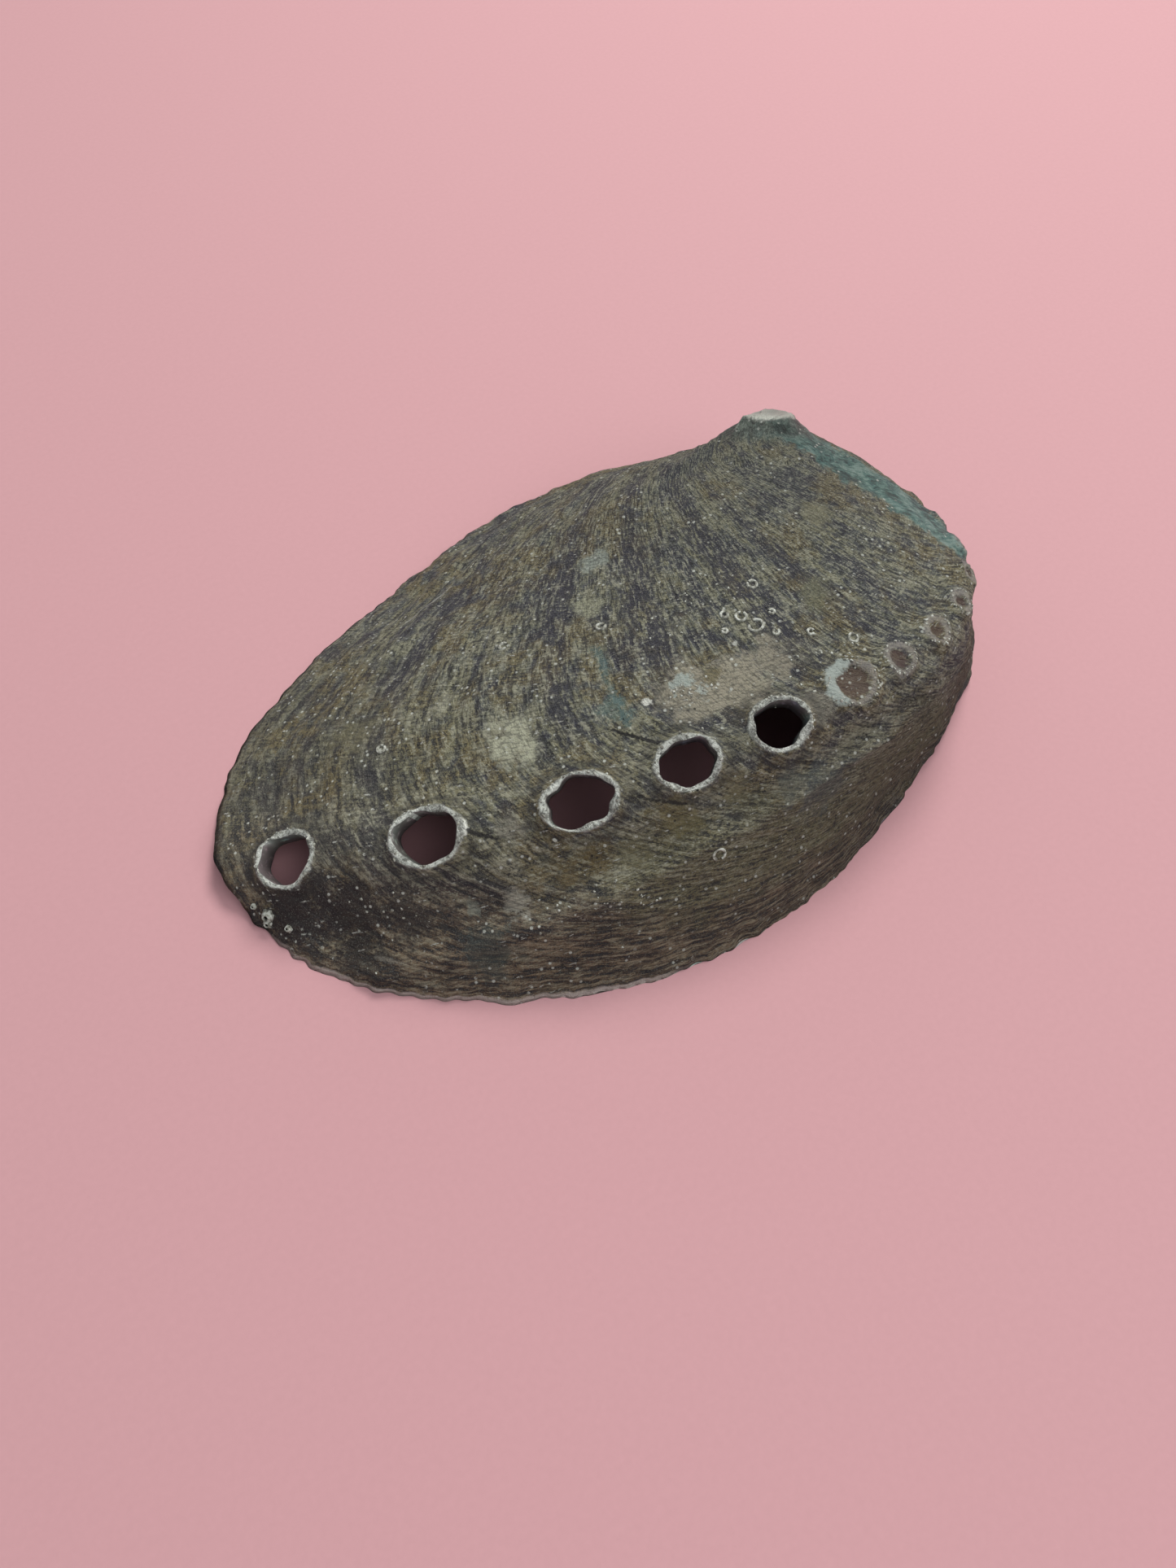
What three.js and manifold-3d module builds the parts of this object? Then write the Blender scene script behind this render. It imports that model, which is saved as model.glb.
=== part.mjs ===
// Abalone shell, resting rim down. Millimetres, +Z up.
// +X runs along the shell towards the spire, and -Y towards the row of holes.
//
// The shell grows as a spiral: the rim turns about a leaning axis through the apex while it widens,
// so the surface is every earlier rim, each one turned back and scaled down towards the apex.
// An age is how far back the rim is turned, in radians: 0 is the newest rim, -1 is 1 radian earlier.

import * as THREE from "three";
import { ParametricGeometry } from "three/addons/geometries/ParametricGeometry.js";
import { mergeVertices } from "three/addons/utils/BufferGeometryUtils.js";
import Module from "manifold-3d";

// Rim: its distance from the middle of the shell, every 20 degrees from +X.
const RIM_RADII = [78.5, 74, 68, 62, 56.5, 53, 53.5, 61, 73.5, 80.5, 75.5, 67, 61, 57, 55.5, 57, 63.5, 75];
const ROW_BEARING = 177.5; // where the row of holes reaches the rim, degrees
const ROW_HEIGHT = 4.2; // the ridge that carries the holes
const ROW_WIDTH = 8; // degrees

// Growth about the leaning axis.
const APEX = new THREE.Vector3(50.5, 24, 29.5);
const AXIS_TILT = 28; // degrees from upright
const AXIS_BEARING = 59; // degrees
const GROWTH_RATE = 0.61; // natural logarithm of the scale, per radian
const MIDDLE_SWELL = 0.1; // the half-grown shell was a little larger than an even spiral
const LATE_SPURT = 0.095; // and growth quickened again towards the newest rim
const SPURT_SPAN = 3; // radians before the newest rim that the last two act over
const OLDEST = -10; // far enough back for the whorls to shrink to a point

// Wall.
const WALL = 2.6;
const LIP_WALL = 1.5; // the newest edge is thinner
const LEAST_FACING = 0.35; // keeps the wall from growing too thick on steep stretches
const UNDERCUT = 2; // how far the hollow is cut below the rim

// Open holes: age, bearing on the rim, half length along the row and half width across it.
const OPEN_HOLES = [
  { age: -0.1, bearing: 177.7, along: 5, across: 4.6 },
  { age: -0.3, bearing: 177.9, along: 5.7, across: 4.6 },
  { age: -0.53, bearing: 178.6, along: 5.7, across: 4.2 },
  { age: -0.73, bearing: 177.6, along: 4.8, across: 4 },
  { age: -0.94, bearing: 176.6, along: 4.6, across: 4 },
];
const BORE_LENGTH = 16;
const COLLAR_WIDTH = 1; // of the collar's flat top
const COLLAR_HEIGHT = 1.1;
const COLLAR_DEPTH = 1.5; // how far the collar's foot reaches into the wall
const COLLAR_FLARE = 1.25; // the foot's size over the top's

// Older holes, filled by the shell as it grew.
const FILLED_HOLES = [
  { age: -1.17, bearing: 174.4, size: 4.4 },
  { age: -1.33, bearing: 175.5, size: 3.2 },
  { age: -1.51, bearing: 176.3, size: 2.8 },
  { age: -1.69, bearing: 177.3, size: 2.5 },
  { age: -1.88, bearing: 177.5, size: 2.3 },
  { age: -2.08, bearing: 177.8, size: 2.1 },
];
const FILLING_HEIGHT = 0.35; // of its size
const FILLING_WIDTH = 0.85; // of its size

// Worn stub of the spire, with its flat top at the apex.
const STUB_TOP_RADIUS = 5.2;
const STUB_FOOT_RADIUS = 12.5;
const STUB_LENGTH = 9;
const STUB_TILT = 38; // degrees from upright
const STUB_BEARING = 59; // degrees

// Facets.
const WHORL_SIDES = 144;
const WHORL_STEPS = 72;
const STEP_GROWTH = 1.6; // above 1, the steps of age are closer together near the apex
const SKIN_SIDES = 90;
const SKIN_ROWS = 24;
const LINING_SIDES = 60;
const LINING_ROWS = 16;
const HOLE_SIDES = 20;
const FILLING_SIDES = 16;
const FILLING_ROWS = 10;

const wasm = await Module();
wasm.setup();

const degrees = THREE.MathUtils.degToRad;

const up = new THREE.Vector3(0, 0, 1);

function leaning(tilt, bearing) {
  const direction = up.clone().applyAxisAngle(new THREE.Vector3(0, 1, 0), degrees(tilt));
  return direction.applyAxisAngle(up, degrees(bearing));
}

const axis = leaning(AXIS_TILT, AXIS_BEARING);

const outlinePoints = RIM_RADII.map((radius, i) => {
  const bearing = (2 * Math.PI * i) / RIM_RADII.length;
  return new THREE.Vector3(radius * Math.cos(bearing), radius * Math.sin(bearing), 0);
});
const outline = new THREE.CatmullRomCurve3(outlinePoints, true, "catmullrom", 0.5);

// A point of the newest rim. The share is 0 to 1 around it, from +X.
function rimPoint(share) {
  const turn = share - Math.floor(share);
  const point = outline.getPoint(turn);
  const offRow = (turn * 360 - ROW_BEARING) / ROW_WIDTH;
  point.z = ROW_HEIGHT * Math.exp(-offRow * offRow);
  return point;
}

// The natural logarithm of the rim's size at an age, over its size now.
function logScale(age) {
  const recent = Math.max(age, -SPURT_SPAN) / SPURT_SPAN;
  const swell = MIDDLE_SWELL * Math.sin(Math.PI * recent);
  const spurt = LATE_SPURT * Math.sin(2 * Math.PI * recent);
  return GROWTH_RATE * age - swell + spurt;
}

// A point of the outer surface.
function outside(age, share) {
  const fromApex = rimPoint(share).sub(APEX);
  fromApex.applyAxisAngle(axis, -age);
  return fromApex.multiplyScalar(Math.exp(logScale(age))).add(APEX);
}

// The whorls as one open spiral tube.
const whorls = new THREE.Mesh(
  new ParametricGeometry(
    (u, v, target) => target.copy(outside(OLDEST * Math.pow(1 - v, STEP_GROWTH), u)),
    WHORL_SIDES,
    WHORL_STEPS,
  ),
  new THREE.MeshBasicMaterial({ side: THREE.DoubleSide }),
);

// A ray from the middle of the opening.
function rayTo(bearing, elevation) {
  const level = Math.cos(elevation);
  return new THREE.Vector3(level * Math.cos(bearing), level * Math.sin(bearing), Math.sin(elevation));
}

const raycaster = new THREE.Raycaster();

// Where a ray leaves the outermost whorl.
function skinAt(bearing, elevation) {
  const ray = rayTo(bearing, elevation);
  raycaster.set(new THREE.Vector3(), ray);
  return raycaster.intersectObject(whorls).at(-1).point;
}

// A closed geometry as a solid that can be joined and cut.
function solidOf(geometry) {
  geometry.deleteAttribute("normal");
  geometry.deleteAttribute("uv");
  const merged = mergeVertices(geometry, 1e-4);
  const corners = merged.index.array;
  const kept = [];
  for (let i = 0; i < corners.length; i += 3) {
    const [a, b, c] = corners.slice(i, i + 3);
    if (a !== b && b !== c && c !== a) kept.push(a, b, c);
  }
  return new wasm.Manifold(
    new wasm.Mesh({
      numProp: 3,
      vertProperties: merged.attributes.position.array,
      triVerts: new Uint32Array(kept),
    }),
  );
}

// Rows of the skin, from the rim up to the top, that share one set of bearings. Below the widest
// part of the spire the wall drops straight down to the rim, as the shell closes that groove itself.
function skinRows(sides, rows) {
  const columns = Array.from({ length: sides }, (_, i) => {
    const rim = rimPoint(i / sides);
    const bearing = Math.atan2(rim.y, rim.x);
    const rimReach = Math.hypot(rim.x, rim.y);
    const lowest = Math.atan2(rim.z, rimReach);
    const column = [];
    let reachAbove = 0;
    for (let j = rows; j > 0; j -= 1) {
      const elevation = THREE.MathUtils.lerp(lowest, Math.PI / 2, j / rows);
      const hit = skinAt(bearing, elevation);
      const reach = Math.hypot(hit.x, hit.y);
      const filled = Math.max(reach, Math.min(rimReach, reachAbove));
      if (j < rows) hit.multiplyScalar(filled / reach);
      reachAbove = filled;
      column.unshift(hit);
    }
    return [rim, ...column];
  });
  return Array.from({ length: rows + 1 }, (_, j) => columns.map((column) => column[j]));
}

// The same rows moved in by the thickness of the wall. They never widen upwards, so that the wall
// stays thick where the spire overhangs.
function liningRows(rows) {
  const sides = rows[0].length;
  const lining = [];
  rows.forEach((row, j) => {
    const higher = rows[Math.min(j + 1, rows.length - 1)];
    const lower = rows[Math.max(j - 1, 0)];
    const moved = row.map((point, i) => {
      const around = row[(i + 1) % sides].clone().sub(row[(i + sides - 1) % sides]);
      const normal = around.cross(higher[i].clone().sub(lower[i])).normalize();
      const facing = higher === row ? 1 : normal.dot(point.clone().normalize());
      const wall = j === 0 ? LIP_WALL : WALL;
      const reach = point.length() - wall / Math.max(facing, LEAST_FACING);
      const widest = j === 0 ? reach : lining[j - 1][i].length();
      return point.clone().setLength(Math.min(reach, widest));
    });
    lining.push(moved);
  });
  return lining;
}

// A closed solid from rows that end in a point at each end, level with the row's lowest point.
function solidFromRows(rows) {
  const sides = rows[0].length;
  const ends = [rows[0], rows.at(-1)].map((row) => {
    const middle = row.reduce((sum, point) => sum.add(point), new THREE.Vector3());
    return middle.divideScalar(sides).setZ(Math.min(...row.map((point) => point.z)));
  });
  const stacks = [Array(sides).fill(ends[0]), ...rows, Array(sides).fill(ends[1])];
  const place = (u, v, target) => {
    const i = Math.round(u * sides) % sides;
    target.copy(stacks[Math.round(v * (stacks.length - 1))][i]);
  };
  return solidOf(new ParametricGeometry(place, sides, stacks.length - 1));
}

// A geometry whose Y axis is set along the outward direction at a point of the surface.
function placedOn(geometry, { age, bearing }, scale) {
  const share = bearing / 360;
  const row = outside(age + 0.05, share).sub(outside(age - 0.05, share));
  const rim = outside(age, share + 0.01).sub(outside(age, share - 0.01));
  const out = new THREE.Vector3().crossVectors(rim, row).negate().normalize();
  const across = new THREE.Vector3().crossVectors(row, out).normalize();
  const along = new THREE.Vector3().crossVectors(out, across);
  const matrix = new THREE.Matrix4().makeBasis(along, out, across);
  matrix.scale(scale);
  matrix.setPosition(outside(age, share));
  return geometry.applyMatrix4(matrix);
}

// A low flared ring of shell around an open hole, solid until the bore is cut.
function collar(hole) {
  const height = COLLAR_HEIGHT + COLLAR_DEPTH;
  const geometry = new THREE.CylinderGeometry(1, COLLAR_FLARE, height, HOLE_SIDES);
  geometry.translate(0, COLLAR_HEIGHT - height / 2, 0);
  const scale = new THREE.Vector3(hole.along + COLLAR_WIDTH, 1, hole.across + COLLAR_WIDTH);
  return solidOf(placedOn(geometry, hole, scale));
}

function bore(hole) {
  const geometry = new THREE.CylinderGeometry(1, 1, BORE_LENGTH, HOLE_SIDES);
  return solidOf(placedOn(geometry, hole, new THREE.Vector3(hole.along, 1, hole.across)));
}

function filling(hole) {
  const geometry = new THREE.SphereGeometry(1, FILLING_SIDES, FILLING_ROWS);
  const scale = new THREE.Vector3(1, FILLING_HEIGHT, FILLING_WIDTH).multiplyScalar(hole.size);
  return solidOf(placedOn(geometry, hole, scale));
}

function stub() {
  const geometry = new THREE.CylinderGeometry(STUB_TOP_RADIUS, STUB_FOOT_RADIUS, STUB_LENGTH, HOLE_SIDES);
  geometry.translate(0, -STUB_LENGTH / 2, 0);
  const turn = new THREE.Quaternion().setFromUnitVectors(
    new THREE.Vector3(0, 1, 0),
    leaning(STUB_TILT, STUB_BEARING),
  );
  geometry.applyQuaternion(turn);
  geometry.translate(APEX.x, APEX.y, APEX.z);
  return solidOf(geometry);
}

function shellSolid() {
  const skin = skinRows(SKIN_SIDES, SKIN_ROWS);
  const lining = liningRows(skinRows(LINING_SIDES, LINING_ROWS));
  const below = lining[0].map((point) => point.clone().setZ(-UNDERCUT));
  const raised = wasm.Manifold.union([
    solidFromRows(skin),
    stub(),
    ...OPEN_HOLES.map(collar),
    ...FILLED_HOLES.map(filling),
  ]);
  const cuts = wasm.Manifold.union([solidFromRows([below, ...lining]), ...OPEN_HOLES.map(bore)]);
  return raised.subtract(cuts);
}

// The solid as a mesh, with the middle of its outline over the origin.
function meshOf(solid, name, material) {
  const { vertProperties, triVerts } = solid.getMesh();
  const geometry = new THREE.BufferGeometry();
  geometry.setAttribute("position", new THREE.BufferAttribute(vertProperties, 3));
  geometry.setIndex(new THREE.BufferAttribute(triVerts, 1));
  geometry.computeVertexNormals();
  geometry.computeBoundingBox();
  const middle = geometry.boundingBox.getCenter(new THREE.Vector3());
  geometry.translate(-middle.x, -middle.y, 0);
  const mesh = new THREE.Mesh(geometry, material);
  mesh.name = name;
  return mesh;
}

const shellMaterial = new THREE.MeshStandardMaterial({ color: 0x5f5a4c, roughness: 0.75, metalness: 0 });

const abaloneShell = new THREE.Group();
abaloneShell.name = "abalone_shell";
abaloneShell.add(meshOf(shellSolid(), "shell", shellMaterial));

export default abaloneShell;
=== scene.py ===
# %% [markdown]
# # An abalone shell, resting on its rim
# An abalone grows by adding shell at its rim. The rim keeps its outline while it turns about a
# leaning axis and widens, so every older rim is still there in the surface. Everything here
# follows that: the form, the growth lines, the spiral cords, the row of breathing holes and the
# stains are all placed by an age (how far back the rim is turned) and a bearing on the rim.

# %% Load the frame
import bpy
import bmesh
import math
import random
import numpy as np
from mathutils import Matrix, Vector, noise
from mathutils.bvhtree import BVHTree
from mathutils.interpolate import poly_3d_calc
from mathutils.kdtree import KDTree


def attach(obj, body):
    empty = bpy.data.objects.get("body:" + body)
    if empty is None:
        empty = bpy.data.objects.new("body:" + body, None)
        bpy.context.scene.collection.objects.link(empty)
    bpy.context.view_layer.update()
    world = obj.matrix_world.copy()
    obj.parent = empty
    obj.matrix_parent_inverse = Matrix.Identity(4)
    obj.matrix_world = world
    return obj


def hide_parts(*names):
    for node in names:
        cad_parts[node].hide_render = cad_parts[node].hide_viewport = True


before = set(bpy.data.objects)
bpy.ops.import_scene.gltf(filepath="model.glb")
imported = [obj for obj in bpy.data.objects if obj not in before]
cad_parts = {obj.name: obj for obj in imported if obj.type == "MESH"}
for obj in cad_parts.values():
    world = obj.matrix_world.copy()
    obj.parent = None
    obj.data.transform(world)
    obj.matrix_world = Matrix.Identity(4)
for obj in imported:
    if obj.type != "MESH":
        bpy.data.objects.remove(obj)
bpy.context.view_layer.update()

# %% [markdown]
# ## The growth law
# A rim point swings back round the axis through the apex by the age, in radians, and shrinks
# towards the apex by an exponential. Two small waves are added to the exponent, because the real
# animal grew quickly, then slowly, then quickly again. Lengths are in millimetres until the end.

# %% Growth law
MM = 0.001
RIM_RADII = [78.5, 74, 68, 62, 56.5, 53, 53.5, 61, 73.5, 80.5, 75.5, 67, 61, 57, 55.5, 57, 63.5, 75]
ROW_BEARING = 177.5
ROW_HEIGHT = 4.2
ROW_WIDTH = 8.0
APEX = np.array([50.5, 24.0, 29.5])
AXIS_TILT = math.radians(28)
AXIS_BEARING = math.radians(59)
GROWTH_RATE = 0.61
MIDDLE_SWELL = 0.1
LATE_SPURT = 0.095
SPURT_SPAN = 3.0
MIDDLE = np.array([-1.0, -0.24, 0.0])  # middle of the outline, which sits over the origin

AXIS = np.array([
    math.sin(AXIS_TILT) * math.cos(AXIS_BEARING),
    math.sin(AXIS_TILT) * math.sin(AXIS_BEARING),
    math.cos(AXIS_TILT),
])
CORNERS = np.array([
    [radius * math.cos(math.radians(20 * i)), radius * math.sin(math.radians(20 * i))]
    for i, radius in enumerate(RIM_RADII)
])


def rim_points(bearing):
    """Points of the newest rim, from bearings in degrees."""
    place = np.mod(np.asarray(bearing, float), 360.0) / 20.0
    first = np.floor(place).astype(int)
    f = (place - first)[:, None]
    p0, p1, p2, p3 = (CORNERS[(first + k) % len(CORNERS)] for k in (-1, 0, 1, 2))
    flat = 0.5 * (2 * p1 + (p2 - p0) * f + (2 * p0 - 5 * p1 + 4 * p2 - p3) * f**2
                  + (3 * p1 - p0 - 3 * p2 + p3) * f**3)
    off_row = (np.mod(bearing, 360.0) - ROW_BEARING) / ROW_WIDTH
    return np.column_stack([flat, ROW_HEIGHT * np.exp(-off_row**2)])


def log_scale(age):
    recent = np.maximum(age, -SPURT_SPAN) / SPURT_SPAN
    return (GROWTH_RATE * age - MIDDLE_SWELL * np.sin(np.pi * recent)
            + LATE_SPURT * np.sin(2 * np.pi * recent))


def skin_points(age, bearing):
    """Points of the outer surface in millimetres, one for each age and bearing."""
    age = np.asarray(age, float)
    arm = rim_points(bearing) - APEX
    cos, sin = np.cos(-age)[:, None], np.sin(-age)[:, None]
    along = (arm @ AXIS)[:, None] * AXIS
    turned = arm * cos + np.cross(AXIS, arm) * sin + along * (1 - cos)
    return turned * np.exp(log_scale(age))[:, None] + APEX


def spot(age, bearing):
    return skin_points(np.array([age]), np.array([float(bearing)]))[0]


print("rim end of the row at", np.round(spot(0, ROW_BEARING), 1))
print("apex at", APEX)

# %% [markdown]
# ## Camera, light and floor
# The camera looks down at the shell from its left, at a phone's field of view. One soft light
# stands high behind the spire, with a wider and slightly weaker one in front, so that the growth
# lines show by their small shadows. The floor is one plain sheet in a muted pink.

# %% Camera
VIEW_BEARING = math.radians(-32)
VIEW_HEIGHT = math.radians(57)
VIEW_DISTANCE = 220 * MM
AIM = Vector((-15.1, -14.5, 0)) * MM - Vector(MIDDLE) * MM

back = Vector((
    math.sin(VIEW_BEARING) * math.cos(VIEW_HEIGHT),
    -math.cos(VIEW_BEARING) * math.cos(VIEW_HEIGHT),
    math.sin(VIEW_HEIGHT),
))
eye = bpy.data.objects.new("camera", bpy.data.cameras.new("camera"))
bpy.context.collection.objects.link(eye)
eye.location = AIM + back * VIEW_DISTANCE
eye.rotation_euler = (-back).to_track_quat("-Z", "Y").to_euler()
eye.data.sensor_width = 36
eye.data.lens = 27.04
eye.data.clip_start = 0.01
bpy.context.scene.camera = eye
print("camera at", [round(v, 3) for v in eye.location])

# %% Lights


def soft_light(name, bearing, height, distance, size, power, colour):
    lamp = bpy.data.objects.new(name, bpy.data.lights.new(name, "AREA"))
    bpy.context.collection.objects.link(lamp)
    toward = Vector((
        math.cos(math.radians(bearing)) * math.cos(math.radians(height)),
        math.sin(math.radians(bearing)) * math.cos(math.radians(height)),
        math.sin(math.radians(height)),
    ))
    lamp.location = toward * distance
    lamp.rotation_euler = (-toward).to_track_quat("-Z", "Y").to_euler()
    lamp.data.shape = "DISK"
    lamp.data.size = size
    lamp.data.energy = power
    lamp.data.color = colour
    return lamp


soft_light("window", 38, 52, 1.2, 0.5, 14.0, (1.0, 0.99, 0.97))
soft_light("room", -75, 50, 1.4, 1.2, 11.0, (0.97, 0.98, 1.0))
world = bpy.data.worlds.new("studio")
bpy.context.scene.world = world
world.use_nodes = True
world.node_tree.nodes["Background"].inputs["Color"].default_value = (0.92, 0.96, 1.0, 1)
world.node_tree.nodes["Background"].inputs["Strength"].default_value = 0.49
bpy.context.scene.view_settings.view_transform = "Standard"

# %% [markdown]
# ## Writing finishes as expressions
# A finish is easier to read as arithmetic than as a list of nodes. `Field` wraps one socket and
# overloads the operators, so `1 - mask * 0.5` adds its own Math nodes. Anything else comes from
# `Finish.add`, which takes a node's type, its settings and its sockets.

# %% Fields and finishes


class Field:
    def __init__(self, finish, socket):
        self.finish = finish
        self.socket = socket

    def math(self, operation, other=None, clamp=False):
        sockets = {0: self} if other is None else {0: self, 1: other}
        return self.finish.add("ShaderNodeMath", {"operation": operation, "use_clamp": clamp}, sockets)

    def __add__(self, other):
        return self.math("ADD", other)

    def __sub__(self, other):
        return self.math("SUBTRACT", other)

    def __mul__(self, other):
        return self.math("MULTIPLY", other)

    def __rsub__(self, other):
        return self.finish.add("ShaderNodeMath", {"operation": "SUBTRACT"}, {0: other, 1: self})

    __radd__ = __add__
    __rmul__ = __mul__

    def band(self, low, high):
        """0 below low, 1 above high, smooth between; the other way round when high is lower."""
        settings = {"interpolation_type": "SMOOTHSTEP"}
        ends = (low, high, 0.0, 1.0) if low < high else (high, low, 1.0, 0.0)
        return self.finish.add("ShaderNodeMapRange", settings,
                               {"Value": self, "From Min": ends[0], "From Max": ends[1],
                                "To Min": ends[2], "To Max": ends[3]})

    def near(self, centre, width):
        """1 at the centre, falling smoothly to 0 at the width on either side."""
        return (self - centre).math("ABSOLUTE").band(width, 0.0)


class Finish:
    def __init__(self, name):
        self.material = bpy.data.materials.new(name)
        self.material.use_nodes = True
        self.tree = self.material.node_tree
        self.tree.nodes.clear()

    def add(self, kind, settings=None, sockets=None, output=0):
        node = self.tree.nodes.new(kind)
        for name, value in (settings or {}).items():
            if name == "stops":
                for element, (position, colour) in zip(self.ramp_elements(node, len(value)), value):
                    element.position, element.color = position, colour
            else:
                setattr(node, name, value)
        for name, value in (sockets or {}).items():
            if isinstance(value, Field):
                self.tree.links.new(value.socket, node.inputs[name])
            else:
                node.inputs[name].default_value = value
        return Field(self, node.outputs[output]) if len(node.outputs) else node

    def ramp_elements(self, node, count):
        elements = node.color_ramp.elements
        while len(elements) < count:
            elements.new(1.0)
        return elements

    def ramp(self, value, stops):
        return self.add("ShaderNodeValToRGB", {"stops": stops}, {"Fac": value})

    def attribute(self, name):
        return self.add("ShaderNodeAttribute", {"attribute_name": name}, output="Fac")

    def place(self):
        return self.add("ShaderNodeTexCoord", output="Object")

    def height(self):
        """Height above the rest plane, in millimetres."""
        return self.add("ShaderNodeSeparateXYZ", {}, {"Vector": self.place()}, "Z") * 1000.0

    def vector(self, operation, first, second, output="Vector"):
        return self.add("ShaderNodeVectorMath", {"operation": operation}, {0: first, 1: second}, output)

    def growth(self, across, along):
        """The growth law's own space: cells this many to a unit of bearing and of age."""
        grown = self.add("ShaderNodeAttribute", {"attribute_name": "growth"}, output="Vector")
        return self.vector("MULTIPLY", grown, (across, across, along))

    def around(self, bearing):
        """Cosine of the turn from a bearing on the rim."""
        way = (math.cos(math.radians(bearing)), math.sin(math.radians(bearing)), 0.0)
        return self.vector("DOT_PRODUCT", self.growth(1.0, 0.0), way, "Value")

    def age(self):
        grown = self.add("ShaderNodeAttribute", {"attribute_name": "growth"}, output="Vector")
        return self.add("ShaderNodeSeparateXYZ", {}, {"Vector": grown}, "Z")

    def from_spot(self, point):
        """Millimetres from a point."""
        return self.vector("DISTANCE", self.place(), point, "Value") * 1000.0

    def from_path(self, points):
        """Millimetres from a path of straight steps."""
        nearest = None
        for start, end in zip(points, points[1:]):
            step = tuple(e - s for s, e in zip(start, end))
            arm = self.vector("SUBTRACT", self.place(), start)
            share = self.vector("DOT_PRODUCT", arm, step, "Value") * (1 / sum(s * s for s in step))
            share = share.math("MAXIMUM", 0.0).math("MINIMUM", 1.0)
            foot = self.add("ShaderNodeVectorMath", {"operation": "SCALE"}, {0: step, "Scale": share})
            away = self.vector("DISTANCE", arm, foot, "Value") * 1000.0
            nearest = away if nearest is None else nearest.math("MINIMUM", away)
        return nearest

    def noise(self, where, scale, detail=3.0, roughness=0.55, distortion=0.0):
        return self.add("ShaderNodeTexNoise", {}, {"Vector": where, "Scale": scale, "Detail": detail,
                        "Roughness": roughness, "Distortion": distortion})

    def cells(self, where, scale, feature="F1", randomness=1.0):
        return self.add("ShaderNodeTexVoronoi", {"feature": feature},
                        {"Vector": where, "Scale": scale, "Randomness": randomness}, output="Distance")

    def mix(self, share, first, second, blend="MIX"):
        settings = {"data_type": "RGBA", "blend_type": blend, "clamp_factor": True}
        return self.add("ShaderNodeMix", settings, {0: share, 6: first, 7: second}, output=2)

    def bump(self, height, distance, strength=1.0, normal=None):
        sockets = {"Height": height, "Distance": distance, "Strength": strength}
        if normal is not None:
            sockets["Normal"] = normal
        return self.add("ShaderNodeBump", {}, sockets)

    def surface(self, sockets):
        shader = self.add("ShaderNodeBsdfPrincipled", {}, sockets)
        self.add("ShaderNodeOutputMaterial", {}, {"Surface": shader})
        return self.material


print("fields ready")

# %% Floor
bm = bmesh.new()
bmesh.ops.create_grid(bm, x_segments=1, y_segments=1, size=3.0)
floor_mesh = bpy.data.meshes.new("floor")
bm.to_mesh(floor_mesh)
bm.free()
floor = bpy.data.objects.new("floor", floor_mesh)
bpy.context.collection.objects.link(floor)
paper = Finish("pale_paper")
paper_fibre = paper.noise(paper.place(), 900.0, 2.0)
paper_tone = paper.mix(paper_fibre, (0.415, 0.219, 0.231, 1), (0.445, 0.236, 0.248, 1))
floor.data.materials.append(paper.surface({"Base Color": paper_tone, "Roughness": 0.85}))
print("floor laid")

# %% [markdown]
# ## The whorls
# The growth law gives a spiral tube that overlaps itself, but only its outermost skin is wanted.
# So the tube is made first as a plain grid of ages and bearings. It is never shown: rays are
# shot at it from outside to find the skin, and each hit says which age and bearing it struck.

# %% Whorl tube
SEAM = 60.0  # the grid starts and ends at this bearing, under the spire
OLDEST = -9.0
WHORL_BEARINGS = 360
WHORL_AGES = 220

bm = bmesh.new()
bmesh.ops.create_grid(bm, x_segments=WHORL_BEARINGS, y_segments=WHORL_AGES, size=0.5)
flat = np.array([v.co[:2] for v in bm.verts]) + 0.5
whorl_bearing = SEAM + 360.0 * flat[:, 0]
whorl_age = OLDEST * (1 - flat[:, 1]) ** 1.8
for vert, point in zip(bm.verts, skin_points(whorl_age, whorl_bearing)):
    vert.co = point
bm.faces.ensure_lookup_table()
whorl_tree = BVHTree.FromBMesh(bm)
whorl_corners = [[v.index for v in face.verts] for face in bm.faces]
whorl_places = [[v.co.copy() for v in face.verts] for face in bm.faces]
bm.free()
print("whorl faces", len(whorl_corners))


def skin_hit(bearing, elevation):
    """Where the skin is, seen from the middle of the opening, and its age and bearing."""
    outward = Vector((math.cos(elevation) * math.cos(bearing), math.cos(elevation) * math.sin(bearing),
                      math.sin(elevation)))
    place, _, face, _ = whorl_tree.ray_cast(outward * 200, -outward)
    if place is None:
        return None
    weights = poly_3d_calc(whorl_places[face], place)
    corners = whorl_corners[face]
    return place, float(np.dot(weights, whorl_age[corners])), float(np.dot(weights, whorl_bearing[corners]))


# %% [markdown]
# ## The dome
# A square grid is bent into a disc and then over the whorls, so its cells stay even and it has no
# pole. Its edge is the rim. The fold where the spire overhangs is filled in the step after this.

# %% Dome grid
DOME_CELLS = 210
STUB_TOP = 5.0
STUB_FOOT = 13.0
STUB_LENGTH = 9.0
STUB_RANGE = 30.0  # rays that pass within this of the apex are tried against the stub
RIM_SHARE = 0.9999
STUB_TILT = math.radians(38)
stub_axis = Vector((
    math.sin(STUB_TILT) * math.cos(AXIS_BEARING),
    math.sin(STUB_TILT) * math.sin(AXIS_BEARING),
    math.cos(STUB_TILT),
))


def disc_place(x, y):
    """A square of half side 1 bent to a disc: share of the way out, and the turn."""
    if abs(x) < 1e-9 and abs(y) < 1e-9:
        return 0.0, 0.0
    if abs(x) >= abs(y):
        out, turn = x, math.pi / 4 * y / x
    else:
        out, turn = y, math.pi / 2 - math.pi / 4 * x / y
    return (out, turn) if out >= 0 else (-out, turn + math.pi)


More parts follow.
